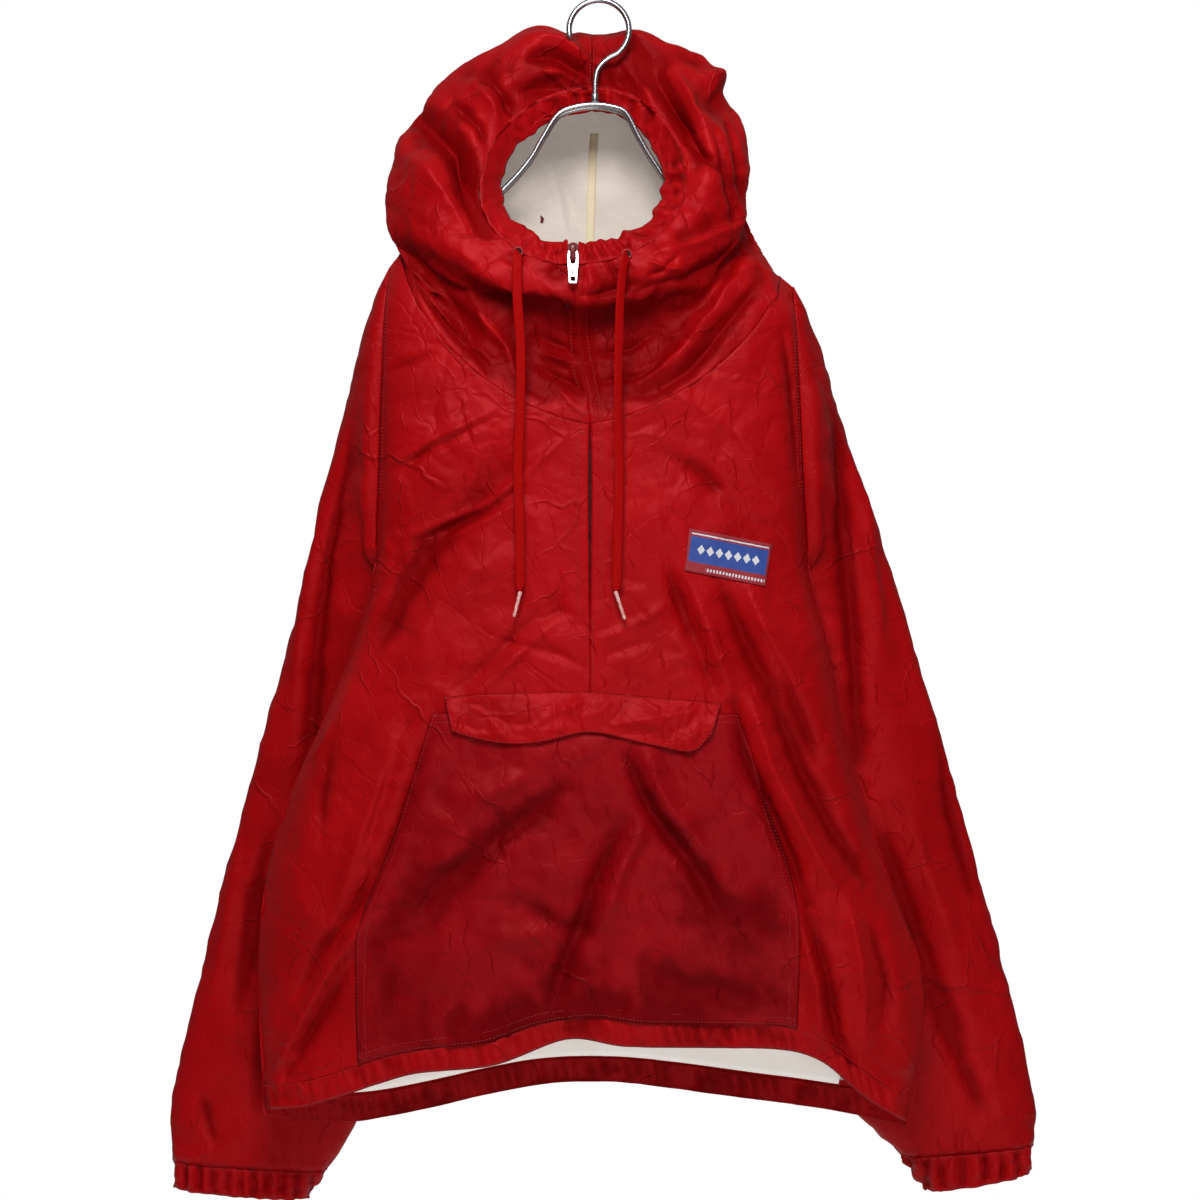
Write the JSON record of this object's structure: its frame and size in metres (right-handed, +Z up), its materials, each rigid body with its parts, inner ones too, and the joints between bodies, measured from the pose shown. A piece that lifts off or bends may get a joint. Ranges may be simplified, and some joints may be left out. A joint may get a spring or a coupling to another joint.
{
  "type": "half-zip hooded windbreaker pullover on a wire hanger",
  "caption": "Half-zip hooded nylon windbreaker pullover with a flap-topped belly pocket and gathered cuffs and hem, hung on a chrome wire hanger.",
  "frame": {"origin": "inside top of the hanger's hook, where a rail carries it", "axes": "+Z up, -Y out of the garment's front, +X to the right of someone facing the front"},
  "size_m": [0.761, 0.1566, 1.0351],
  "materials": {
    "red_shell": "semi-gloss crinkled nylon taffeta",
    "cream_lining": "matt cotton lining",
    "red_cord": "flat braid",
    "clear_tip": "clear tube",
    "woven_patch": "woven patch",
    "zip_tape": "woven tape",
    "zip_metal": "polished",
    "hanger_chrome": "polished"
  },
  "bodies": {
    "garment": {"aglet_left": "clear_tip", "aglet_right": "clear_tip", "back_hem": "red_shell", "back_lining": "cream_lining", "back_panel": "red_shell", "chest_patch": "woven_patch", "cuff_left": "red_shell", "cuff_right": "red_shell", "drawcord_left": "red_cord", "drawcord_right": "red_cord", "eyelet_left": "red_shell", "eyelet_right": "red_shell", "front_hem": "red_shell", "front_left": "red_shell", "front_right": "red_shell", "hanger_ferrule": "hanger_chrome", "hanger_hook": "hanger_chrome", "hanger_rods": "hanger_chrome", "hood_casing": "red_shell", "hood_left": "red_shell", "hood_lining": "cream_lining", "hood_right": "red_shell", "pocket": "red_shell", "pocket_flap": "red_shell", "sleeve_left": "red_shell", "sleeve_right": "red_shell", "zip_slider": "zip_metal", "zip_tape": "zip_tape"},
    "pull": {"zip_pull": "zip_metal"}
  },
  "joints": [
    {"name": "pull_hinge", "type": "hinge", "parent": "garment", "child": "pull", "pos_m": [-0.0215, -0.0591, -0.2161], "axis": [-1, 0, 0], "range_deg": [0, 150]}
  ]
}
